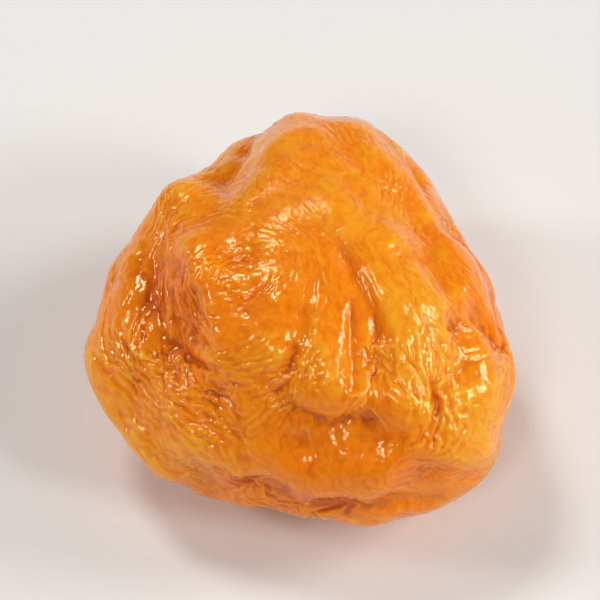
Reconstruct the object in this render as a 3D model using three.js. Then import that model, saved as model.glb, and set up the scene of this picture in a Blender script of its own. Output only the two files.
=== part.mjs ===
// A whole soft-dried plum (a prune), lying on its flattened underside.
//
// Millimetres, +Z up. The origin is on the surface that the fruit lies on, under the middle of its
// bounding box. +Y runs along the fruit's length, towards its stem end. +X runs towards its tip.
//
// The fruit grew and dried as one piece, so it is one closed solid. Its skin is a sphere of
// directions around the fruit's middle. Each direction is carried out to a plump body, then pushed
// in or out by the folds, furrows and swellings that drying left, and last it settles on the floor.

import * as THREE from "three";
import { SimplexNoise } from "three/addons/math/SimplexNoise.js";
import { mergeVertices } from "three/addons/utils/BufferGeometryUtils.js";

// ---- Driving dimensions ----

const LENGTH = 44; // along Y
const HEIGHT = 26.4; // from the resting spot to the top of the plump body
const WAIST = 10.5; // height of the widest section above the resting spot
const KEEL = 12.4; // depth of the round underside below the waist, before its weight flattens it
const SETTLE = 0.7; // how softly the skin curves down onto the resting spot
const FULLNESS = 2.05; // 2 is an ellipsoid; more is boxier
const FINENESS = 19; // subdivisions of each icosahedron edge
const EVENING = 2; // rounds of evening out between neighbouring corners
const SEED = 11;

const SKIN_COLOUR = 0xe9871c;
const SKIN_ROUGHNESS = 0.3;

// Radius of the waist at evenly spaced bearings, anticlockwise from +X, in half lengths. It is a
// rounded triangle: a blunt stem end at +Y, a small tip at +X and a broad pinched flank at -X.
const OUTLINE = [
  0.84, 0.8, 0.8, 0.86, 0.95, 0.98, 0.91, 0.81, 0.77, 0.81,
  0.88, 0.92, 0.91, 0.93, 0.91, 0.93, 1.0, 1.08, 1.04, 0.91,
];

// ---- What drying left in the skin ----
// Each path is a run of [bearing, climb] in degrees, seen from the middle of the waist: bearing 0 is
// +X and 90 is +Y, and climb is the angle above the waist. A depth below 0 is a raised ridge.

const FOLDS = [
  // The valley between the dome and the broad flank, and the flank's own pinched rim
  { path: [[168, 36], [-172, 36], [-156, 33], [-138, 29], [-118, 24], [-104, 21]], depth: 1.9, width: 2.9 },
  { path: [[-178, 9], [-162, 5], [-146, 0], [-130, -3], [-118, -6]], depth: -1.2, width: 2.3 },
  { path: [[-168, 20], [-150, 15], [-134, 11], [-120, 9]], depth: 0.6, width: 2.0 },
  // The tongue on the near side of the dome: a groove down each flank, and one under its end
  { path: [[-50, 70], [-60, 60], [-65, 48], [-66, 38], [-62, 30]], depth: 1.0, width: 1.9 },
  { path: [[-76, 66], [-86, 52], [-92, 41], [-96, 32]], depth: 0.8, width: 1.9 },
  { path: [[-106, 27], [-94, 23], [-82, 20], [-70, 21], [-60, 26]], depth: 0.9, width: 2.0 },
  // Folds round the swelling on the tip side
  { path: [[-22, 42], [-34, 31], [-46, 26], [-54, 17], [-61, 5], [-64, -8]], depth: 0.7, width: 2.1 },
  { path: [[-6, 52], [-22, 50], [-38, 52], [-52, 54]], depth: 0.5, width: 2.0 },
  // The raised rim over the far shoulder, with a trough inside it
  { path: [[78, 40], [58, 44], [36, 44], [12, 40], [-8, 31], [-16, 20]], depth: -0.4, width: 2.0 },
  { path: [[66, 56], [40, 59], [14, 55], [-4, 45]], depth: 0.2, width: 2.6 },
  // Furrows that notch the near edge
  { path: [[-122, 8], [-117, -4], [-115, -18]], depth: 0.7, width: 2.1 },
  { path: [[-101, 8], [-99, -6], [-101, -20]], depth: 0.5, width: 2.0 },
  { path: [[-82, 5], [-83, -8], [-83, -22]], depth: 0.5, width: 2.0 },
  // The seam, from the stem end round the far shoulder to the tip
  { path: [[92, 8], [76, 2], [56, 0], [36, 1], [16, 4], [-2, 8]], depth: 1.3, width: 1.9 },
  // Long folds that draw in towards the stem end
  { path: [[104, 26], [116, 40], [138, 52], [170, 58]], depth: 1.0, width: 2.3 },
  { path: [[112, 14], [130, 20], [148, 22], [164, 18]], depth: 1.4, width: 2.3 },
  { path: [[110, 0], [128, -4], [148, -4], [166, -8]], depth: 1.1, width: 2.2 },
  { path: [[88, 32], [74, 50], [40, 70]], depth: 0.4, width: 2.1 },
  { path: [[84, -12], [62, -16], [38, -16], [14, -12]], depth: 0.9, width: 2.2 },
];

// Rounded swellings, and hollows where the height is below 0: [bearing, climb], height and radius.
const SWELLINGS = [
  { at: [-78, 40], height: 0.6, radius: 3.4 }, // the tongue
  { at: [-38, 40], height: 0.8, radius: 4.0 }, // beside it, on the tip side
  { at: [-48, 14], height: 0.8, radius: 3.4 }, // low on the tip side
  { at: [-142, 42], height: -0.8, radius: 4.2 }, // where the valley is deepest
  { at: [-100, 56], height: 0.5, radius: 5.0 }, // the shoulder of the dome
  { at: [70, 82], height: 0.9, radius: 9.0 }, // its top
  { at: [72, 50], height: 1.6, radius: 7.5 }, // its far side
  { at: [-21, 9], height: 1.3, radius: 2.6 }, // the tip
  { at: [95, 17], height: -2.8, radius: 3.0 }, // the stem's hollow
  { at: [30, 26], height: -0.9, radius: 6.0 }, // a flat where it dried against another
  { at: [150, 36], height: 0.7, radius: 4.5 },
];

// Short puckers drawn in round the stem's hollow
const PUCKERS = { at: [95, 17], count: 8, from: 2.4, to: 7.5, depth: 0.6, width: 1.3 };

// Uneven drying all over: the size of its waves and how far they reach
const WAVES = [
  { size: 16, reach: 0.65 },
  { size: 8, reach: 0.3 },
];

// ---- Small helpers ----

// Repeatable random numbers, as the noise wants them.
function seeded(seed) {
  let state = seed;
  return {
    random() {
      state = (state * 16807) % 2147483647;
      return state / 2147483647;
    },
  };
}

// A smooth value at any place round a ring of evenly spaced values (Catmull-Rom).
function aroundRing(values, turn) {
  const count = values.length;
  const place = (((turn % 1) + 1) % 1) * count;
  const i = Math.floor(place);
  const t = place - i;
  const [a, b, c, d] = [-1, 0, 1, 2].map((step) => values[(i + step + count) % count]);
  return b + 0.5 * t * (c - a + t * (2 * a - 5 * b + 4 * c - d + t * (3 * (b - c) + d - a)));
}

function towards([bearing, climb]) {
  const turn = THREE.MathUtils.degToRad(bearing);
  const rise = THREE.MathUtils.degToRad(climb);
  return new THREE.Vector3(Math.cos(turn) * Math.cos(rise), Math.sin(turn) * Math.cos(rise), Math.sin(rise));
}

// ---- The plump body ----

// Where the body's surface lies in a unit direction from the middle of the waist.
function bodyPoint(direction) {
  const level = Math.hypot(direction.x, direction.y);
  const turn = Math.atan2(direction.y, direction.x) / (2 * Math.PI);
  const radius = aroundRing(OUTLINE, turn) * (LENGTH / 2);
  const rise = direction.z > 0 ? HEIGHT - WAIST : KEEL;
  const share = (level / radius) ** FULLNESS + (Math.abs(direction.z) / rise) ** FULLNESS;
  return direction.clone().multiplyScalar(share ** (-1 / FULLNESS));
}

// A sphere of even triangles, its corners carried out to the plump body.
function plumpBody() {
  const sphere = new THREE.IcosahedronGeometry(1, FINENESS);
  sphere.deleteAttribute("normal");
  sphere.deleteAttribute("uv");
  const body = mergeVertices(sphere, 1e-4);
  const corners = body.getAttribute("position");
  for (let i = 0; i < corners.count; i++) {
    const corner = bodyPoint(new THREE.Vector3().fromBufferAttribute(corners, i).normalize());
    corners.setXYZ(i, corner.x, corner.y, corner.z);
  }
  body.computeVertexNormals();
  return body;
}

// ---- Folds, swellings and waves ----

const FOLD_STEPS = 28;
const FOLD_TAPER = 0.3; // share of a fold's length over which each end fades out
const LIP = 0.3; // how far the skin beside a fold is pushed up, as a share of its depth

// The fold's line on the plump body, as points.
function foldLine(path) {
  const curve = new THREE.CatmullRomCurve3(path.map(towards), false, "centripetal");
  return curve.getPoints(FOLD_STEPS).map((point) => bodyPoint(point.normalize()));
}

// Distance from a point to the nearest place on a line of points, and how far along that place is.
function nearest(point, line) {
  const found = { distance: Infinity, along: 0 };
  const spot = new THREE.Vector3();
  for (let i = 0; i + 1 < line.length; i++) {
    const piece = new THREE.Line3(line[i], line[i + 1]);
    const t = piece.closestPointToPointParameter(point, true);
    const distance = piece.at(t, spot).distanceTo(point);
    if (distance < found.distance) {
      found.distance = distance;
      found.along = (i + t) / (line.length - 1);
    }
  }
  return found;
}

// A fold's cross-section: 1 in its bed, a little below 0 on the lips beside it, 0 far away.
function foldSection(x) {
  return Math.exp(-(x ** 1.7)) - LIP * Math.exp(-(((x - 2) / 0.75) ** 2));
}

function makeFold({ path, depth, width }) {
  const line = foldLine(path);
  return (point) => {
    const { distance, along } = nearest(point, line);
    const fade = THREE.MathUtils.smoothstep(Math.min(along, 1 - along), -0.06, FOLD_TAPER);
    return -depth * fade * foldSection(distance / (width * (0.6 + 0.4 * fade)));
  };
}

function makeSwelling({ at, height, radius }) {
  const middle = bodyPoint(towards(at));
  return (point) => height * Math.exp(-((point.distanceTo(middle) / radius) ** 2));
}

function makePuckers({ at, count, from, to, depth, width }) {
  const middle = towards(at);
  const side = new THREE.Vector3(0, 0, 1).cross(middle).normalize();
  const up = new THREE.Vector3().crossVectors(middle, side);
  const reach = bodyPoint(middle).length();
  const puckers = [];
  for (let i = 0; i < count; i++) {
    const turn = ((i + 0.3 * Math.sin(5 * i)) / count) * 2 * Math.PI;
    const away = side.clone().multiplyScalar(Math.cos(turn)).addScaledVector(up, Math.sin(turn));
    const length = to * (0.8 + 0.25 * Math.cos(3 * i));
    const line = [from, (from + length) / 2, length].map((r) =>
      bodyPoint(middle.clone().addScaledVector(away, r / reach).normalize()),
    );
    puckers.push((point) => {
      const { distance, along } = nearest(point, line);
      return -depth * (1 - along) * Math.exp(-((distance / width) ** 2));
    });
  }
  return (point) => puckers.reduce((sum, pucker) => sum + pucker(point), 0);
}

// Waves with rounded tops and narrow beds, as skin has that shrank over soft flesh.
function makeWaves() {
  const noise = new SimplexNoise(seeded(SEED));
  return (point) => {
    let sum = 0;
    WAVES.forEach(({ size, reach }, i) => {
      const at = point.clone().multiplyScalar(1 / size);
      at.x += 0.35 * noise.noise3d(at.y, at.z + 7 * i, at.x);
      at.z += 0.35 * noise.noise3d(at.z, at.x + 3 * i, at.y);
      const value = noise.noise3d(at.x, at.y, at.z + 11 * i);
      const swell = Math.sqrt(value ** 2 + 0.04) - 0.2;
      sum += reach * (1 - 2 * (1 - swell) ** 2.2) * 0.8;
    });
    return sum;
  };
}

// ---- The whole fruit ----

// The skin comes down softly onto the surface that it lies on, and no lower.
function settled(z) {
  if (z > SETTLE) return z;
  if (z < -SETTLE) return 0;
  return (z + SETTLE) ** 2 / (4 * SETTLE);
}

// Evens out one value per corner with its neighbours, as the skin's own thickness does.
function evened(values, triangles) {
  const sums = new Float64Array(values.length);
  const counts = new Float64Array(values.length);
  for (let i = 0; i < triangles.count; i += 3) {
    const [a, b, c] = [0, 1, 2].map((step) => triangles.getX(i + step));
    for (const [corner, next] of [[a, b], [b, c], [c, a]]) {
      sums[corner] += values[next];
      counts[corner] += 1;
    }
  }
  return values.map((value, i) => 0.5 * value + (0.5 * sums[i]) / counts[i]);
}

function fruitSkin() {
  const skin = plumpBody();
  const corners = skin.getAttribute("position");
  const normals = skin.getAttribute("normal");
  const marks = [...FOLDS.map(makeFold), ...SWELLINGS.map(makeSwelling), makePuckers(PUCKERS), makeWaves()];
  const corner = new THREE.Vector3();
  const normal = new THREE.Vector3();
  let pushes = new Float64Array(corners.count);
  for (let i = 0; i < corners.count; i++) {
    corner.fromBufferAttribute(corners, i);
    pushes[i] = marks.reduce((sum, mark) => sum + mark(corner), 0);
  }
  for (let round = 0; round < EVENING; round++) pushes = evened(pushes, skin.index);
  for (let i = 0; i < corners.count; i++) {
    corner.fromBufferAttribute(corners, i);
    corner.addScaledVector(normal.fromBufferAttribute(normals, i), pushes[i]);
    corners.setXYZ(i, corner.x, corner.y, settled(corner.z + WAIST));
  }
  skin.computeBoundingBox();
  const middle = skin.boundingBox.getCenter(new THREE.Vector3());
  skin.translate(-middle.x, -middle.y, 0);
  skin.computeVertexNormals();
  return skin;
}

const fruit = new THREE.Mesh(
  fruitSkin(),
  new THREE.MeshStandardMaterial({ color: SKIN_COLOUR, roughness: SKIN_ROUGHNESS, metalness: 0 }),
);
fruit.name = "prune";

const prune = new THREE.Group();
prune.add(fruit);

export default prune;
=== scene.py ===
"""A whole soft-dried plum (a prune): moist, translucent amber flesh under a finely wrinkled skin.

The file is laid out as a Blender add-on and run as a script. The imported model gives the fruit's form.
The skin is grown on it as skin really wrinkles: it is a thin sheet, too large for the soft flesh
that it is bound to, and it buckles.
"""

import math

import bpy
import numpy as np
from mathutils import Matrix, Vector
from mathutils.bvhtree import BVHTree


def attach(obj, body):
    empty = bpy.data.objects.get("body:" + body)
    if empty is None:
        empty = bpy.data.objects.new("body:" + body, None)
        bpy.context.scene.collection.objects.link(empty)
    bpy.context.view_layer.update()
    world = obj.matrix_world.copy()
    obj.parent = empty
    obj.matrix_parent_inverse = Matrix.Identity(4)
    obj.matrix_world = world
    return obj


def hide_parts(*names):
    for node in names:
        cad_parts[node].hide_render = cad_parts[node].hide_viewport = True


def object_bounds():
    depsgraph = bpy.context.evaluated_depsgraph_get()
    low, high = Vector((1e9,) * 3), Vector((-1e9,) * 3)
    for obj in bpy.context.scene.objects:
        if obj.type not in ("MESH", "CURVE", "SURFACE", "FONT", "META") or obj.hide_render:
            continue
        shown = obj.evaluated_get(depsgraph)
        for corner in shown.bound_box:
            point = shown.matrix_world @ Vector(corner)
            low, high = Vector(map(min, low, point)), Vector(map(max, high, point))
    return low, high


bl_info = {
    "name": "Soft-dried prune",
    "version": (1, 0, 0),
    "blender": (4, 5, 0),
    "location": "View3D > Sidebar > Prune",
    "description": "Grows a wrinkled, glossy amber skin on a packed prune",
    "category": "Object",
}

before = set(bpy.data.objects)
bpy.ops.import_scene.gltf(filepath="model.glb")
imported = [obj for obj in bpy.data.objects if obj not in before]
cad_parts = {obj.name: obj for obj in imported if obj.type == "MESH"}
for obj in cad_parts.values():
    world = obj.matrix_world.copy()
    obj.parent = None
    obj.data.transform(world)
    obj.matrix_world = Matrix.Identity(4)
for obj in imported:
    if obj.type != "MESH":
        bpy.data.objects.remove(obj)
CAD_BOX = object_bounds()
MM = 0.001


# ---- Sizes and colours that a user would change ----


class PruneSkinSettings(bpy.types.PropertyGroup):
    cuts: bpy.props.IntProperty(
        name="Cuts",
        description="Fineness of the sheet that the broad wrinkles grow in",
        default=49,
    )
    furrow_spacing: bpy.props.FloatProperty(
        name="Furrow spacing",
        description="Distance from one broad wrinkle to the next",
        default=3.6 * MM,
        unit="LENGTH",
    )
    furrow_growth: bpy.props.FloatProperty(
        name="Furrow growth",
        description="How much too large the sheet is when the broad wrinkles form",
        default=0.055,
        subtype="FACTOR",
    )
    crinkle_spacing: bpy.props.FloatProperty(
        name="Crinkle spacing",
        description="Distance from one fine wrinkle to the next",
        default=1.05 * MM,
        unit="LENGTH",
    )
    crinkle_growth: bpy.props.FloatProperty(
        name="Crinkle growth",
        description="How much too large the sheet is when the fine wrinkles form",
        default=0.065,
        subtype="FACTOR",
    )
    seed: bpy.props.IntProperty(
        name="Seed",
        description="Chooses one set of chance unevenness",
        default=4,
    )
    amber: bpy.props.FloatVectorProperty(
        name="Amber",
        description="Colour of the flesh seen through the skin",
        default=(0.93, 0.255, 0.004),
        subtype="COLOR",
        min=0.0,
        max=1.0,
    )
    # Partly painted light: raised ridges and the top of the dome are blended towards this colour as if
    # lit. It is also the paler flesh's own colour.
    glow: bpy.props.FloatVectorProperty(
        name="Lit skin",
        description="Colour of the raised and brightest places",
        default=(1.0, 0.38, 0.014),
        subtype="COLOR",
        min=0.0,
        max=1.0,
    )
    # Painted shade: creases, furrows and hollows are blended towards this colour, where shade falls.
    depth: bpy.props.FloatVectorProperty(
        name="Creases",
        description="Colour of the deepest creases",
        default=(0.66, 0.11, 0.002),
        subtype="COLOR",
        min=0.0,
        max=1.0,
    )
    translucency: bpy.props.FloatProperty(
        name="Translucency",
        description="How deep light goes into the flesh",
        default=1.4 * MM,
        unit="LENGTH",
    )
    streak_depth: bpy.props.FloatProperty(
        name="Streak depth",
        description="Depth of the finest streaks, which break highlights into short strokes",
        default=0.21 * MM,
        unit="LENGTH",
    )
    gloss: bpy.props.FloatVectorProperty(
        name="Gloss",
        description="Colour of the highlights, warmed by the flesh under the moist skin",
        default=(1.0, 0.82, 0.46),
        subtype="COLOR",
        min=0.0,
        max=1.0,
    )


class PruneStageSettings(bpy.types.PropertyGroup):
    elevation: bpy.props.FloatProperty(
        name="Camera elevation",
        description="How far above the horizon the camera stands",
        default=math.radians(52),
        subtype="ANGLE",
    )
    distance: bpy.props.FloatProperty(
        name="Camera distance",
        description="From the camera to the middle of the fruit",
        default=0.42,
        unit="LENGTH",
    )
    view_width: bpy.props.FloatProperty(
        name="View width",
        description="Width of what the camera sees at the fruit",
        default=56 * MM,
        unit="LENGTH",
    )
    key: bpy.props.FloatProperty(
        name="Key light",
        description="Strength of the main light, high behind the fruit; the others follow it",
        default=1.15,
    )
    sky: bpy.props.FloatProperty(
        name="Surroundings",
        description="Brightness of the pale room overhead",
        default=0.16,
    )
    floor_colour: bpy.props.FloatVectorProperty(
        name="Floor colour",
        description="Colour of the plain floor",
        default=(0.815, 0.8, 0.78),
        subtype="COLOR",
        min=0.0,
        max=1.0,
    )


# ---- Sheets of skin: corners, the edges between them, and how they are bound together ----


class Sheet:
    """A closed sheet of triangles: which corners lie beside each other."""

    def __init__(self, triangles):
        """triangles has three corner numbers in each row, anticlockwise as seen from outside."""
        self.triangles = triangles
        self.count = int(triangles.max()) + 1
        sides = np.concatenate([triangles[:, [0, 1]], triangles[:, [1, 2]], triangles[:, [2, 0]]])
        facing = np.concatenate([triangles[:, 2], triangles[:, 0], triangles[:, 1]])
        order = np.lexsort((sides.max(axis=1), sides.min(axis=1)))
        # each edge is a side of two triangles, so the sorted sides come in pairs
        self.edges = np.sort(sides, axis=1)[order[::2]]
        self.facing = np.stack([facing[order[::2]], facing[order[1::2]]], axis=1)
        self.edge_of_side = np.empty(len(sides), dtype=np.int64)
        self.edge_of_side[order] = np.arange(len(sides)) // 2
        self.beside, self.real = self._neighbours()
        self.number = self.real.sum(axis=1)

    def _neighbours(self):
        """One row of neighbours per corner, filled up with the corner itself, and which are real."""
        start = np.concatenate([self.edges[:, 0], self.edges[:, 1]])
        end = np.concatenate([self.edges[:, 1], self.edges[:, 0]])
        order = np.argsort(start, kind="stable")
        start, end = start[order], end[order]
        first = np.searchsorted(start, np.arange(self.count))
        place = np.arange(len(start)) - first[start]
        rows = np.repeat(np.arange(self.count)[:, None], place.max() + 1, axis=1)
        rows[start, place] = end
        real = np.zeros(rows.shape, dtype=np.float32)
        real[start, place] = 1.0
        return rows, real

    def bend(self, values):
        """How far each corner's value lies from the mean of its neighbours' values."""
        beside = values[self.beside].sum(axis=1)
        # a row's filling adds the corner's own value, which this takes out again
        number = self.number.astype(values.dtype)
        filling = self.beside.shape[1] - number
        if values.ndim == 2:
            number, filling = number[:, None], filling[:, None]
        return (beside - filling * values) / number - values

    def normals(self, corners):
        """Unit vectors that point out of the sheet."""
        a, b, c = (corners[self.triangles[:, i]] for i in range(3))
        faces = np.cross(b - a, c - a)
        sums = np.zeros_like(corners)
        for i in range(3):
            for axis in range(3):
                sums[:, axis] += np.bincount(
                    self.triangles[:, i], weights=faces[:, axis], minlength=self.count
                )
        return sums / np.linalg.norm(sums, axis=1)[:, None]

    def unit(self, corners):
        """The usual length of an edge, in metres."""
        ends = corners[self.edges]
        return float(np.median(np.linalg.norm(ends[:, 1] - ends[:, 0], axis=1)))

    def finer(self, corners):
        """The same sheet with each triangle cut in four, and its corners (Loop's rule)."""
        ends, facing = corners[self.edges], corners[self.facing]
        middles = 0.375 * ends.sum(axis=1) + 0.125 * facing.sum(axis=1)
        share = 0.375 - (0.375 + 0.25 * np.cos(2 * np.pi / self.number)) ** 2 + 0.25
        kept = corners + share[:, None] * self.bend(corners)
        # the new corners, midway along the edges, are numbered on from the old ones
        ab, bc, ca = self.edge_of_side.reshape(3, -1) + self.count
        a, b, c = self.triangles.T
        cut = [(a, ab, ca), (ab, b, bc), (ca, bc, c), (ab, bc, ca)]
        triangles = np.concatenate([np.stack(three, axis=1) for three in cut])
        return Sheet(triangles), np.concatenate([kept, middles])

    def smoothed(self, values, rounds):
        """The values after each has moved half way to its neighbours' mean, again and again."""
        for _ in range(rounds):
            values = values + 0.5 * self.bend(values)
        return values


def even_ball(cuts):
    """Triangles and corners of a ball: an icosahedron with each edge cut into cuts parts."""
    golden = (1 + 5**0.5) / 2
    tips = []
    for u in (-1, 1):
        for v in (-golden, golden):
            tips += [(0, u, v), (u, v, 0), (v, 0, u)]
    tips = np.array(tips)
    apart = np.linalg.norm(tips[:, None] - tips[None], axis=2)
    # neighbouring tips are 2 apart, and the next nearest are more than 3 apart
    near = (apart > 0.1) & (apart < 2.1)
    corners, triangles = [], []
    for a in range(12):
        for b in range(a + 1, 12):
            for c in range(b + 1, 12):
                if not (near[a, b] and near[b, c] and near[a, c]):
                    continue
                # in the order that turns the face outwards
                if np.linalg.det(tips[[a, b, c]]) < 0:
                    first, second, third = tips[a], tips[c], tips[b]
                else:
                    first, second, third = tips[a], tips[b], tips[c]
                high = len(corners)
                for i in range(cuts + 1):
                    for j in range(i + 1):
                        mix = (cuts - i) * first + (i - j) * second + j * third
                        corners.append(mix / cuts)
                for i in range(cuts):
                    low = high + i + 1
                    for j in range(i + 1):
                        triangles.append((high + j, low + j, low + j + 1))
                        if j < i:
                            triangles.append((high + j, low + j + 1, high + j + 1))
                    high = low
    corners = np.array(corners)
    # corners on the edges between two faces were made twice
    rounded = np.round(corners * 1e5).astype(np.int64)
    _, first, same = np.unique(rounded, axis=0, return_index=True, return_inverse=True)
    corners = corners[first]
    corners /= np.linalg.norm(corners, axis=1)[:, None]
    return same.reshape(-1)[np.array(triangles)], corners


def direction(bearing, climb):
    """A unit vector. A bearing is anticlockwise from +X and a climb is up from level, in degrees."""
    turn, rise = math.radians(bearing), math.radians(climb)
    return np.array([math.cos(turn) * math.cos(rise), math.sin(turn) * math.cos(rise), math.sin(rise)])


# A place on the fruit is the bearing and the climb at which it is seen from the fruit's middle.
# Depths, widths and radii are in millimetres.

FORM_MIDDLE = np.array([0.0, 0.0, 10.5]) * MM

# Creases that the skin dried into: how deep, how wide, and the line that they follow.
CREASES = [
    (0.55, 0.9, [(-41, 76), (-50, 63), (-55, 51), (-59, 41)]),  # down the near side, tip side
    (0.35, 0.9, [(-72, 72), (-87, 55), (-93, 44), (-96, 33)]),  # its fellow, away from the tip
    (0.4, 0.7, [(-61, 56), (-70, 42), (-73, 31)]),  # the parting of the tongue between them
    (0.5, 0.9, [(-97, 34), (-91, 27), (-81, 23), (-69, 25)]),  # across, under the tongue
    (0.2, 0.6, [(-160, 40), (-146, 36), (-132, 36), (-118, 38)]),  # the swirl's rings
    (0.2, 0.6, [(-161, 32), (-147, 29), (-133, 29), (-117, 33)]),
]
# Where the fine wrinkles run: round a place or fanning out from it. Each has the place, the radius
# over which it holds, and its strength.
GRAIN = [
    ("round", (-127, 60), 12.0, 1.6),  # the swirl, and on down the pinched flank
    ("fan", (-45, 77), 13.0, 1.2),  # down the near side of the dome
    ("fan", (-20, 14), 8.0, 1.2),  # drawn in to the tip
    ("fan", (95, 17), 14.0, 1.4),  # drawn in to the stem's hollow
    ("round", (30, 80), 9.0, 0.7),  # round the top of the dome
]
# Where the skin stays taut as it dries, and where it crinkles: place, radius, strength.
DOME_TOP = ((60, 78), 11.0, 0.9)
TAUT = [
    DOME_TOP,
    ((-112, 58), 5.0, 0.4),  # its shoulder over the swirl
    ((-95, 0), 9.0, 0.35),  # the near edge
    ((-15, 62), 6.0, 0.5),  # the dome's shoulder, tip side
    ((-50, 10), 6.0, 0.4),  # low on the tip side
    ((-140, 20), 8.0, 0.4),  # the pinched flank
]
CRINKLED = [
    ((-145, 34), 7.0, 0.9),  # the swirl
    ((-138, 14), 6.0, 1.2),  # the pinched flank
    ((-122, 16), 4.5, 0.7),  # its near end
    ((-73, 34), 5.5, 1.1),  # the tongue and its grooves
    ((-95, 35), 4.0, 0.9),  # the far end of the groove beside it
    ((-37, 42), 4.5, 0.35),  # the swelling on the tip side
    ((-49, 28), 5.0, 0.8),  # the ribs below it
    ((-24, 17), 4.5, 0.9),  # by the tip
    ((-54, 16), 4.0, 0.6),
    ((-80, 17), 4.5, -0.6),  # under the tongue, where it is drawn smooth
    ((-108, 2), 6.0, 0.5),  # the near edge
    ((-80, -4), 6.0, 0.5),
    ((-128, 64), 4.0, 0.6),  # the inner edge of the swirl
    ((30, 40), 6.0, 0.7),  # the rim over the far shoulder
    ((95, 17), 8.0, 0.9),  # round the stem's hollow
    ((150, 10), 9.0, 0.6),
    ((60, -10), 9.0, 0.6),
    ((128, -4), 9.0, 0.8),  # the far side's foot
    ((165, 42), 6.0, 0.6),  # the far side, over the valley
    ((32, 6), 9.0, 0.6),  # past the tip
    ((-100, -30), 9.0, 0.7),  # round the underside
    ((-40, -28), 9.0, 0.7),
    ((-165, -28), 9.0, 0.7),
    ((115, -30), 9.0, 0.6),
    ((5, -26), 8.0, 0.6),
]
# Where the flesh is paler and yellower, and where it is darker: place, radius, strength. The lighter
# places are partly the flesh's own colour and partly painted light; the darker ones are painted shade.
TONE_LIGHT_AND_SHADE = [
    ((60, 76), 9.0, 0.6),  # the top of the dome
    ((-50, 29), 5.0, 1.1),  # the ribs below the swelling
    ((-35, 44), 5.0, 0.6),  # the swelling
    ((-80, 45), 5.0, 0.4),  # over the tongue
    ((-140, 14), 5.5, 0.6),  # the pinched flank
    ((-46, 16), 5.0, 0.9),  # low on the tip side
    ((150, 40), 9.0, 0.5),
    ((60, 10), 9.0, 0.4),
    # painted shade: the valley, the groove, the stem's hollow and under the near edge are darkened as
    # if in shade
    ((-158, 40), 6.5, -0.9),  # the valley behind the swirl
    ((-130, 36), 4.5, -0.6),
    ((-80, 6), 9.0, -0.9),  # under the near edge
    ((-62, 52), 2.0, -0.5),  # the groove in the middle
    ((95, 17), 5.0, -1.0),  # the stem's hollow
]
CREASE_STEPS = 48  # points along each crease's line


def place_on(corners, bearing_and_climb):
    """The corner that lies nearest to a direction from the form's middle."""
    away = corners - FORM_MIDDLE
    climb = away @ direction(*bearing_and_climb)
    return corners[np.argmax(climb / np.linalg.norm(away, axis=1))]


def spread_round(corners, places):
    """The places' strengths, summed, each fading out over its radius."""
    total = np.zeros(len(corners))
    for towards, radius, strength in places:
        distance = np.linalg.norm(corners - place_on(corners, towards), axis=1)
        total += strength * np.exp(-((distance / (radius * MM)) ** 2))
    return total


def creased(corners, normals):
    """The corners with the creases pressed in. A crease is deepest midway and runs out at its ends."""
    pressed = np.zeros(len(corners))
    for depth, width, line in CREASES:
        stops = np.array([place_on(corners, stop) for stop in line])
        share = np.linspace(0, 1, CREASE_STEPS)
        reached = np.linspace(0, 1, len(stops))
        path = np.stack([np.interp(share, reached, stops[:, axis]) for axis in range(3)], axis=1)
        apart = np.linalg.norm(corners[:, None] - path[None], axis=2)
        nearest = apart.argmin(axis=1)
        profile = np.exp(-((apart.min(axis=1) / (width * MM)) ** 2))
        pressed += depth * MM * np.sqrt(np.sin(np.pi * share[nearest])) * profile
    return corners - normals * pressed[:, None]


GRAIN_WANDER = 0.9  # how far the grain turns away from the fruit's length, in radians
GRAIN_EVERYWHERE = 0.25  # the strength of the grain along the fruit


def grain_tensors(corners, normals, chance):
    """One 3 x 3 tensor per corner, whose long axis is the way that the fine wrinkles run there."""
    total = np.zeros((len(corners), 3, 3))
    weight_sum = np.zeros(len(corners))
    # everywhere: roughly along the fruit, with a slow wander
    wander = GRAIN_WANDER * chance
    along = np.stack([np.sin(wander), np.cos(wander), np.zeros_like(wander)], axis=1)
    entries = [(along, np.full(len(corners), GRAIN_EVERYWHERE))]
    for kind, towards, radius, strength in GRAIN:
        spoke = corners - place_on(corners, towards)
        distance = np.linalg.norm(spoke, axis=1)
        weight = strength * np.exp(-((distance / (radius * MM)) ** 2))
        way = np.cross(normals, spoke) if kind == "round" else spoke
        entries.append((way, weight))
    for way, weight in entries:
        way = way - normals * np.sum(way * normals, axis=1)[:, None]
        way /= np.linalg.norm(way, axis=1)[:, None] + 1e-9
        total += weight[:, None, None] * way[:, :, None] * way[:, None, :]
        weight_sum += weight
    return total / weight_sum[:, None, None]


# The buckling works in units of the sheet's own edge length.
HOLD = 0.006  # pull of the flesh on the skin, against the skin's own stretch
SLIDE = 0.3  # its share against sliding sideways
PINCH = 1.2  # how much harder the flesh holds against bulging out than against folding in
PINCH_REACH = (-0.7, 2.0)  # how far in and out that difference goes on growing
FLUTTER = 0.03  # chance unevenness that the buckling starts from
DRAG = 0.9  # share of its speed that the skin keeps from one round to the next
STEP = 0.35  # speed that a unit of force adds in a round


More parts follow.
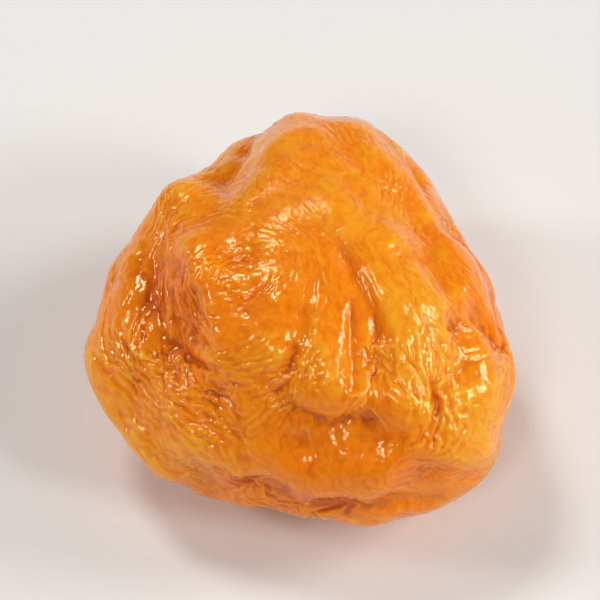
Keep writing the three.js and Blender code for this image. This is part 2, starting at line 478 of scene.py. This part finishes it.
def buckled(sheet, corners, normals, spacing, growth, along_share, tensors, rounds, rng):
    """Lets the sheet grow where it is bound to soft flesh, and returns the corners after it buckles.

    growth is how much too large each place is, across the grain; along_share is the share of that
    which it grows along the grain. spacing, one value per corner, sets the sheet's stiffness.
    """
    beside, real = sheet.beside, sheet.real
    unit = sheet.unit(corners)
    home = (corners / unit).astype(np.float32)
    normals = normals.astype(np.float32)
    spoke = home[beside] - home[:, None]
    length = np.sqrt(np.einsum("nkj,nkj->nk", spoke, spoke)) + 1e-9
    way = spoke / length[:, :, None]
    held = np.einsum("nki,nij,nkj->nk", way, tensors.astype(np.float32), way, optimize=True)
    held = np.clip(held, 0, 1)
    # the length that each edge would like to have now that it has grown
    rest = length * (1 + growth[:, None] * (1 - held + along_share * held)).astype(np.float32)
    # a stiffer sheet buckles into wider wrinkles
    stiff = (HOLD * (spacing / (math.pi * unit)) ** 4).astype(np.float32)[:, None]
    at = home + normals * (rng.standard_normal(len(home)) * FLUTTER).astype(np.float32)[:, None]
    speed = np.zeros_like(at)
    for _ in range(rounds):
        # the skin stretches or squeezes towards its own lengths
        spoke = at[beside] - at[:, None]
        length = np.sqrt(np.einsum("nkj,nkj->nk", spoke, spoke)) + 1e-9
        pull = 0.5 * real * (1 - rest / length)
        force = np.einsum("nk,nkj->nj", pull, spoke)
        # it resists bending
        off = at - home
        force -= sheet.bend(stiff * sheet.bend(off))
        # the flesh draws it back to where it was
        lift = np.einsum("nj,nj->n", off, normals)
        lift = lift * (1 + PINCH * np.clip(lift, *PINCH_REACH))
        force -= HOLD * (normals * lift[:, None] + SLIDE * off)
        speed = DRAG * speed + STEP * force
        at = at + speed
    return at.astype(float) * unit


def slow_chance(sheet, rng, rounds):
    """Smooth chance unevenness, about -1 to 1: random numbers evened out over the sheet."""
    values = sheet.smoothed(rng.standard_normal(sheet.count), rounds)
    values -= values.mean()
    return values / (2.0 * values.std())


EVENING_ROUNDS = 3  # times that the sheet is slid even and laid on the form again
EVENING_SLIDES = 4  # rounds of sliding, each time
FACET_ROUNDS = 5  # rounds that smooth the form's facets away


def wrapped_round(source, settings):
    """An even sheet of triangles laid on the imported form, with the form's facets smoothed away."""
    form = BVHTree.FromObject(source, bpy.context.evaluated_depsgraph_get())
    triangles, ways = even_ball(settings.cuts)
    sheet = Sheet(triangles)
    middle = Vector(FORM_MIDDLE)
    corners = np.array([form.ray_cast(middle, Vector(way))[0] for way in ways])
    for _ in range(EVENING_ROUNDS):
        slid = sheet.smoothed(corners, EVENING_SLIDES)
        corners = np.array([form.find_nearest(Vector(corner))[0] for corner in slid])
    return sheet, sheet.smoothed(corners, FACET_ROUNDS)


def give_float(mesh, name, values):
    """Leaves one number on each corner for the material."""
    layer = mesh.attributes.new(name, "FLOAT", "POINT")
    layer.data.foreach_set("value", np.asarray(values, dtype=np.float32))


FIT_ROUNDS = 400
FIT_ERROR = 1e-8  # mean square error, in square millimetres, at which the fit is good enough


def unrolled(sheet, corners, ways):
    """How far along ways each corner lies, in millimetres, as nearly as the curved skin allows.

    ways is a unit vector per corner. The steps between neighbours are fitted by least squares, with
    conjugate gradients.
    """
    steps = corners[:, None] - corners[sheet.beside]
    pushes = 0.5 * (ways[:, None] + ways[sheet.beside])
    wanted = np.einsum("nkj,nkj->n", steps, pushes) / MM
    found = np.zeros(sheet.count)
    left = wanted - wanted.mean()
    search = left.copy()
    size = left @ left
    for _ in range(FIT_ROUNDS):
        pulled = -sheet.number * sheet.bend(search)
        step = size / (search @ pulled)
        found += step * search
        left -= step * pulled
        size, last = left @ left, size
        if size < FIT_ERROR * sheet.count:
            break
        search = left + (size / last) * search
    return found


GRAIN_EVENNESS = 100  # rounds of smoothing of the grain's chance wander
# Directions that the two ways are turned to, because a tensor's axes have no sign of their own
ALONG_SIDE = direction(80, 30)
ACROSS_SIDE = direction(-15, 25)


def grain_places(sheet, corners, rng):
    """Two lengths per corner: across the fine wrinkles and along them."""
    normals = sheet.normals(corners)
    chance = slow_chance(sheet, rng, GRAIN_EVENNESS)
    _, axes = np.linalg.eigh(grain_tensors(corners, normals, chance))
    along = axes[:, :, 2]
    across = np.cross(normals, along)
    along = along * np.where(along @ ALONG_SIDE < 0, -1, 1)[:, None]
    across = across * np.where(across @ ACROSS_SIDE < 0, -1, 1)[:, None]
    return unrolled(sheet, corners, across), unrolled(sheet, corners, along)


def rounds_for(sheet, corners, millimetres):
    """Rounds of smoothing that even a sheet out over a length."""
    return int((millimetres * MM / sheet.unit(corners)) ** 2)


def risen(before, after, normals):
    """How far each corner moved out, in metres."""
    return np.einsum("nj,nj->n", after - before, normals)


# Sizes, in millimetres, over which a growth varies by chance
GRAIN_PATCH = 5.0
GROWTH_PATCH = 2.5
SPACING_PATCH = 3.0
SPACING_SPREAD = 0.25  # how much the distance between wrinkles varies


def wrinkled(sheet, corners, spacing, growth, patchiness, along_share, rounds, rng):
    """One growth of the skin: its corners after it has wrinkled."""
    normals = sheet.normals(corners)

    def chance(size):
        return slow_chance(sheet, rng, rounds_for(sheet, corners, size))

    tensors = grain_tensors(corners, normals, chance(GRAIN_PATCH))
    growth = growth * np.clip(1 + patchiness * chance(GROWTH_PATCH), 0.0, 2.0)
    spacings = spacing * np.exp(SPACING_SPREAD * chance(SPACING_PATCH))
    return buckled(sheet, corners, normals, spacings, growth, along_share, tensors, rounds, rng)


# The two growths: broad furrows first, and fine crinkles on a finer sheet
FURROWS = {"patchiness": 0.5, "along_share": 0.5, "rounds": 160}
CRINKLES = {"patchiness": 0.6, "along_share": 0.1, "rounds": 80}
LEAST_FURROWS = 0.1  # share of the furrows' growth that is left where the skin is most taut
LEAST_SLACK = 0.35  # share of the crinkles' growth away from the places that crinkle most
MOST_SLACK = 1.4  # what those places add to it at most
RISE_SIZE = 3.2  # millimetres: skin that stands out from its surroundings this wide is raised


def grow_skin(settings):
    """The skin as an object. Its mesh keeps, corner by corner, what the material needs to know."""
    rng = np.random.default_rng(settings.seed)
    sheet, corners = wrapped_round(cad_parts["prune"], settings)
    corners = creased(corners, sheet.normals(corners))

    growth = settings.furrow_growth * np.clip(1 - spread_round(corners, TAUT), LEAST_FURROWS, 1)
    corners = wrinkled(sheet, corners, settings.furrow_spacing, growth, rng=rng, **FURROWS)
    flattened = sheet.smoothed(corners, rounds_for(sheet, corners, RISE_SIZE))
    rise = risen(flattened, corners, sheet.normals(corners))
    rise -= rise.mean()
    across, along = grain_places(sheet, corners, rng)

    sheet, finer = sheet.finer(np.column_stack([corners, rise, across, along]))
    smooth, (rise, across, along) = finer[:, :3], finer[:, 3:].T
    slack = LEAST_SLACK + np.clip(spread_round(smooth, CRINKLED), 0, MOST_SLACK)
    growth = settings.crinkle_growth * slack
    corners = wrinkled(sheet, smooth, settings.crinkle_spacing, growth, rng=rng, **CRINKLES)
    crinkle = risen(smooth, corners, sheet.normals(smooth))

    mesh = bpy.data.meshes.new("prune_skin")
    mesh.from_pydata(corners.tolist(), [], sheet.triangles.tolist())
    mesh.polygons.foreach_set("use_smooth", [True] * len(mesh.polygons))
    give_float(mesh, "rise", rise / MM)
    give_float(mesh, "crinkle", crinkle / MM)
    give_float(mesh, "slack", slack)
    give_float(mesh, "taut", np.clip(spread_round(corners, [DOME_TOP]), 0, 1))
    # the flesh's own paler tone, with painted light on lit places and painted shade in hollows
    give_float(mesh, "golden", spread_round(corners, TONE_LIGHT_AND_SHADE))
    give_float(mesh, "across", across)
    give_float(mesh, "along", along)
    skin = bpy.data.objects.new("prune_skin", mesh)
    bpy.context.collection.objects.link(skin)
    return skin


# ---- Materials ----


class Value:
    """One output of a node. Arithmetic on it adds Math nodes to the same tree."""

    def __init__(self, tree, socket):
        self.tree = tree
        self.socket = socket

    def _math(self, operation, *values):
        return self.tree.node("ShaderNodeMath", {"operation": operation}, values)

    def __add__(self, other):
        return self._math("ADD", self, other)

    __radd__ = __add__

    def __sub__(self, other):
        return self._math("SUBTRACT", self, other)

    def __rsub__(self, other):
        return self._math("SUBTRACT", other, self)

    def __mul__(self, other):
        return self._math("MULTIPLY", self, other)

    __rmul__ = __mul__

    def held(self, low, high):
        """No lower than low and no higher than high."""
        return self._math("MINIMUM", self._math("MAXIMUM", self, low), high)

    def rising(self, start, end):
        """0 at start and below, 1 at end and above, and smooth between."""
        settings = {"interpolation_type": "SMOOTHSTEP"}
        return self.tree.node("ShaderNodeMapRange", settings, (self, start, end))


class Tree:
    """A tree of shader nodes."""

    def __init__(self, tree):
        self.tree = tree

    def put(self, socket, value):
        """Links a Value to a socket, or sets a plain value on it."""
        if isinstance(value, Value):
            self.tree.links.new(value.socket, socket)
        else:
            socket.default_value = value

    def node(self, kind, settings=None, inputs=(), output=0):
        """Adds a node. settings come first; inputs are by place, or by name in a dict."""
        made = self.tree.nodes.new(kind)
        for name, value in (settings or {}).items():
            setattr(made, name, value)
        named = inputs.items() if isinstance(inputs, dict) else enumerate(inputs)
        for key, value in named:
            self.put(made.inputs[key], value)
        return Value(self, made.outputs[output])


class Finish(Tree):
    """A material and its nodes."""

    def __init__(self, name):
        self.material = bpy.data.materials.new(name)
        self.material.use_nodes = True
        super().__init__(self.material.node_tree)
        self.shader = self.tree.nodes["Principled BSDF"]

    def constant(self, name, value):
        """A value that is the same all over goes on the shader's own socket."""
        self.put(self.shader.inputs[name], value)

    def position(self):
        """Where on the fruit, in millimetres."""
        place = self.node("ShaderNodeTexCoord", output="Object")
        settings = {"operation": "SCALE"}
        return self.node("ShaderNodeVectorMath", settings, {0: place, "Scale": 1 / MM})

    def noise(self, place, size, detail=2.0, roughness=0.5):
        """Unevenness of one size, in millimetres, 0 to 1."""
        inputs = {"Vector": place, "Scale": 1 / size, "Detail": detail, "Roughness": roughness}
        return self.node("ShaderNodeTexNoise", None, inputs)

    def measured(self, name):
        """A value that the skin's growth left on each corner."""
        return self.node("ShaderNodeAttribute", {"attribute_name": name}, output="Fac")

    def streaks(self, across, along, spacing, length, detail):
        """Noise drawn out along the grain, 0 to 1. Its spacing and length are in millimetres."""
        inputs = (across * (1 / spacing), along * (1 / length))
        place = self.node("ShaderNodeCombineXYZ", None, inputs)
        return self.noise(place, 1.0, detail)

    def blend(self, share, first, second):
        """A colour share of the way from first to second."""
        settings = {"data_type": "RGBA", "clamp_factor": True}
        # the Mix node's sockets for colours come after those for numbers and vectors
        inputs = {0: share, 6: coloured(first), 7: coloured(second)}
        return self.node("ShaderNodeMix", settings, inputs, output=2)

    def scaled(self, colour, factor):
        """A colour made lighter or darker."""
        settings = {"operation": "SCALE"}
        return self.node("ShaderNodeVectorMath", settings, {0: colour, "Scale": factor})

    def bump(self, height, depth):
        """depth is in metres, for a height of 1."""
        inputs = {"Height": height, "Distance": depth, "Strength": 1.0}
        return self.node("ShaderNodeBump", None, inputs)


def coloured(value):
    """A colour as a socket takes it, with its alpha."""
    return value if isinstance(value, Value) else (*value, 1.0)


def floor_material(settings):
    """Quite dull, so that it looks equally bright from every side."""
    finish = Finish("floor")
    finish.constant("Base Color", coloured(settings.floor_colour))
    finish.constant("Roughness", 1.0)
    finish.constant("Specular IOR Level", 0.0)
    return finish.material


# Sizes, in millimetres, of the unevenness in the skin's colour and gloss
BROAD = 11.0  # paler and deeper parts of the flesh
MOTTLE = 2.4
WAVER = 1.3  # the streaks waver over this
SPECKLE = 0.9
GRAINS = 0.6
# The spacing and the length of the two kinds of streak
WIDE_STREAKS = (1.05, 2.5)
THIN_STREAKS = (0.45, 1.0)

STROKE_SHARE = 0.3  # how deep the thin streaks are beside the wide ones
GRAIN_SHARE = 0.2  # how deep the grains are beside the wide streaks
SMOOTH_SHARE = 0.25  # how deep the streaks are on smooth skin, beside slack skin
SMOOTHEST, ROUGHEST = 0.06, 0.6
MOIST = 0.09  # roughness of the moist skin
TAUT_DULLNESS = 0.2  # added where the skin is taut, on top of the dome
MOTTLE_DULLNESS = 0.2
SCATTER = (1.0, 0.38, 0.08)  # how far red, green and blue light go in the flesh, beside each other


def skin_colour(finish, settings, place, mottle, wide_streaks, thin_streaks):
    """Lighter where the skin is raised, and deeper where it is creased: painted light on the ridges and
    painted shade in the creases, over the flesh's own tone.
    """
    # painted light and shade: the skin's broad rise and its fine crinkles lighten its ridges and darken
    # its furrows
    raised = finish.measured("rise") * 0.9 + finish.measured("crinkle") * 6.0
    # painted shade: darker in the grooves of the streaks that also bump the skin, lighter on their
    # crests
    streak_shade = (wide_streaks - 0.5) * 1.6 + (thin_streaks - 0.5) * 0.9
    height = raised + (mottle - 0.5) * 1.4 + streak_shade * (0.4 + finish.measured("slack") * 0.6)
    # the flesh's own paler and darker patches, with painted light on lit places and painted shade in
    # the hollows
    golden = finish.measured("golden") + (finish.noise(place, BROAD) - 0.5) * 2.0
    # above 0 the flesh is lighter than amber, and below 0 it is deeper: partly its own tone, partly
    # painted light on ridges and painted shade in creases and hollows
    tone_light_and_shade = height * 0.7 + golden * 0.6
    colour = finish.blend(tone_light_and_shade.rising(-0.1, 1.0), settings.amber, settings.glow)
    colour = finish.blend((0 - tone_light_and_shade).rising(0.05, 1.2), colour, settings.depth)
    speckle = finish.noise(place, SPECKLE, detail=5.0, roughness=0.72)
    # random speckle, with painted shade along the grooves of the thin streaks
    return finish.scaled(colour, 0.44 + 0.66 * speckle + 0.46 * thin_streaks)


def skin_material(settings):
    """Translucent flesh under a moist skin, whose streaks break highlights into short strokes."""
    finish = Finish("prune_skin")
    place = finish.position()
    mottle = finish.noise(place, MOTTLE, detail=4.0, roughness=0.6)
    across = finish.measured("across") + (finish.noise(place, WAVER, detail=1.0) - 0.5) * 1.6
    along = finish.measured("along")
    wide_streaks = finish.streaks(across, along, *WIDE_STREAKS, detail=0.0)
    thin_streaks = finish.streaks(across, along, *THIN_STREAKS, detail=0.5)
    colour = skin_colour(finish, settings, place, mottle, wide_streaks, thin_streaks)

    dull = MOIST + TAUT_DULLNESS * finish.measured("taut") + MOTTLE_DULLNESS * (mottle - 0.45)
    slack = SMOOTH_SHARE + finish.measured("slack") * (1 - SMOOTH_SHARE)
    grains = finish.noise(place, GRAINS, roughness=0.6)
    uneven = (wide_streaks + thin_streaks * STROKE_SHARE) * slack + grains * GRAIN_SHARE

    sockets = finish.shader.inputs
    finish.put(sockets["Base Color"], colour)
    finish.put(sockets["Roughness"], dull.held(SMOOTHEST, ROUGHEST))
    finish.put(sockets["Normal"], finish.bump(uneven, settings.streak_depth))
    finish.constant("Specular IOR Level", 0.64)
    finish.constant("Specular Tint", coloured(settings.gloss))
    finish.constant("Subsurface Weight", 1.0)
    finish.constant("Subsurface Radius", SCATTER)
    finish.constant("Subsurface Scale", settings.translucency)
    return finish.material


# ---- Operators ----


class PRUNE_OT_fruit(bpy.types.Operator):
    """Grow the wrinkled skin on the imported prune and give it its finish"""

    bl_idname = "prune.fruit"
    bl_label = "Fruit"

    def execute(self, context):
        settings = context.scene.prune_skin
        skin = grow_skin(settings)
        skin.data.materials.append(skin_material(settings))
        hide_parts("prune")
        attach(skin, "root")
        return {"FINISHED"}


# Each soft lamp: its name, its bearing, its height above the floor as an angle and how wide it looks
# from the fruit, all in degrees, and how strong it is beside the key light's setting.
LAMPS = [
    ("key", 134, 61, 15, 0.82),  # high behind, on the flank's side
    ("side", 9, 31, 22, 1.15),  # past the tip
    ("near", -27, 34, 15, 0.75),
    ("front", -110, 48, 12, 0.46),
    ("left", 178, 30, 12, 0.55),
]
SKY_COLOUR = (1.0, 0.98, 0.95)
HORIZON_GLOW = 4.22  # how much brighter the sky is at the horizon, where it meets the pale floor
HORIZON_BAND = (0.03, 0.12)  # sines of the heights between which that glow fades out
FLOOR_SIZE = 60.0  # metres, so that the floor reaches the horizon in low views
CAMERA_BEARING = -90.0
NEAREST = 0.01  # metres: the camera sees nothing nearer than this


def lay_floor(settings):
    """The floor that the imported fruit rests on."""
    bpy.ops.mesh.primitive_plane_add(size=FLOOR_SIZE, location=(0, 0, CAD_BOX[0].z))
    floor = bpy.context.object
    floor.name = "floor"
    floor.data.materials.append(floor_material(settings))
    return floor


def hang_lamp(name, bearing, height, width, strength):
    """A soft lamp that is far away, so that the floor is lit evenly out to the horizon."""
    light = bpy.data.lights.new(name, "SUN")
    light.angle = math.radians(width)
    light.energy = strength
    lamp = bpy.data.objects.new(name, light)
    bpy.context.collection.objects.link(lamp)
    lamp.rotation_euler = Vector(direction(bearing, height)).to_track_quat("Z", "Y").to_euler()


def surround(settings):
    """A pale room, as bright at the horizon as the floor, so that no line parts them."""
    world = bpy.data.worlds.new("studio")
    world.use_nodes = True
    studio = Tree(world.node_tree)
    # a world's generated coordinates are the direction in which it is seen
    towards = studio.node("ShaderNodeTexCoord", output="Generated")
    climb = studio.node("ShaderNodeSeparateXYZ", None, (towards,), output="Z")
    glow = HORIZON_GLOW * (1 - climb.rising(*HORIZON_BAND))
    background = world.node_tree.nodes["Background"]
    studio.put(background.inputs["Color"], coloured(SKY_COLOUR))
    studio.put(background.inputs["Strength"], settings.sky * (1 + glow))
    return world


def set_camera(settings):
    """A camera that looks down at the middle of the fruit."""
    low, high = CAD_BOX
    back = Vector(direction(CAMERA_BEARING, math.degrees(settings.elevation)))
    camera = bpy.data.objects.new("camera", bpy.data.cameras.new("camera"))
    bpy.context.collection.objects.link(camera)
    camera.location = (low + high) / 2 + back * settings.distance
    camera.rotation_euler = (-back).to_track_quat("-Z", "Y").to_euler()
    camera.data.lens = camera.data.sensor_width * settings.distance / settings.view_width
    camera.data.clip_start = NEAREST
    return camera


class PRUNE_OT_stage(bpy.types.Operator):
    """Lay the plain floor and set the lights and the camera"""

    bl_idname = "prune.stage"
    bl_label = "Floor, lights and camera"

    def execute(self, context):
        settings = context.scene.prune_stage
        floor = lay_floor(settings)
        for name, bearing, height, width, share in LAMPS:
            hang_lamp(f"{name}_light", bearing, height, width, settings.key * share)
        context.scene.world = surround(settings)
        context.scene.camera = set_camera(settings)
        context.scene.view_settings.view_transform = "Standard"
        return {"FINISHED"}


class PRUNE_PT_sidebar(bpy.types.Panel):
    """Builds the prune piece by piece"""

    bl_label = "Prune"
    bl_idname = "PRUNE_PT_sidebar"
    bl_space_type = "VIEW_3D"
    bl_region_type = "UI"
    bl_category = "Prune"

    def draw(self, context):
        for settings, operator in (
            (context.scene.prune_skin, PRUNE_OT_fruit),
            (context.scene.prune_stage, PRUNE_OT_stage),
        ):
            box = self.layout.box()
            for name in settings.bl_rna.properties.keys():
                if name not in ("rna_type", "name"):
                    box.prop(settings, name)
            box.operator(operator.bl_idname)


CLASSES = (PruneSkinSettings, PruneStageSettings, PRUNE_OT_fruit, PRUNE_OT_stage, PRUNE_PT_sidebar)


def register():
    for each in CLASSES:
        bpy.utils.register_class(each)
    bpy.types.Scene.prune_skin = bpy.props.PointerProperty(type=PruneSkinSettings)
    bpy.types.Scene.prune_stage = bpy.props.PointerProperty(type=PruneStageSettings)


def unregister():
    del bpy.types.Scene.prune_stage
    del bpy.types.Scene.prune_skin
    for each in reversed(CLASSES):
        bpy.utils.unregister_class(each)


def main():
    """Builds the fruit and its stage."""
    register()
    bpy.ops.prune.fruit()
    bpy.ops.prune.stage()


if __name__ == "__main__":
    main()
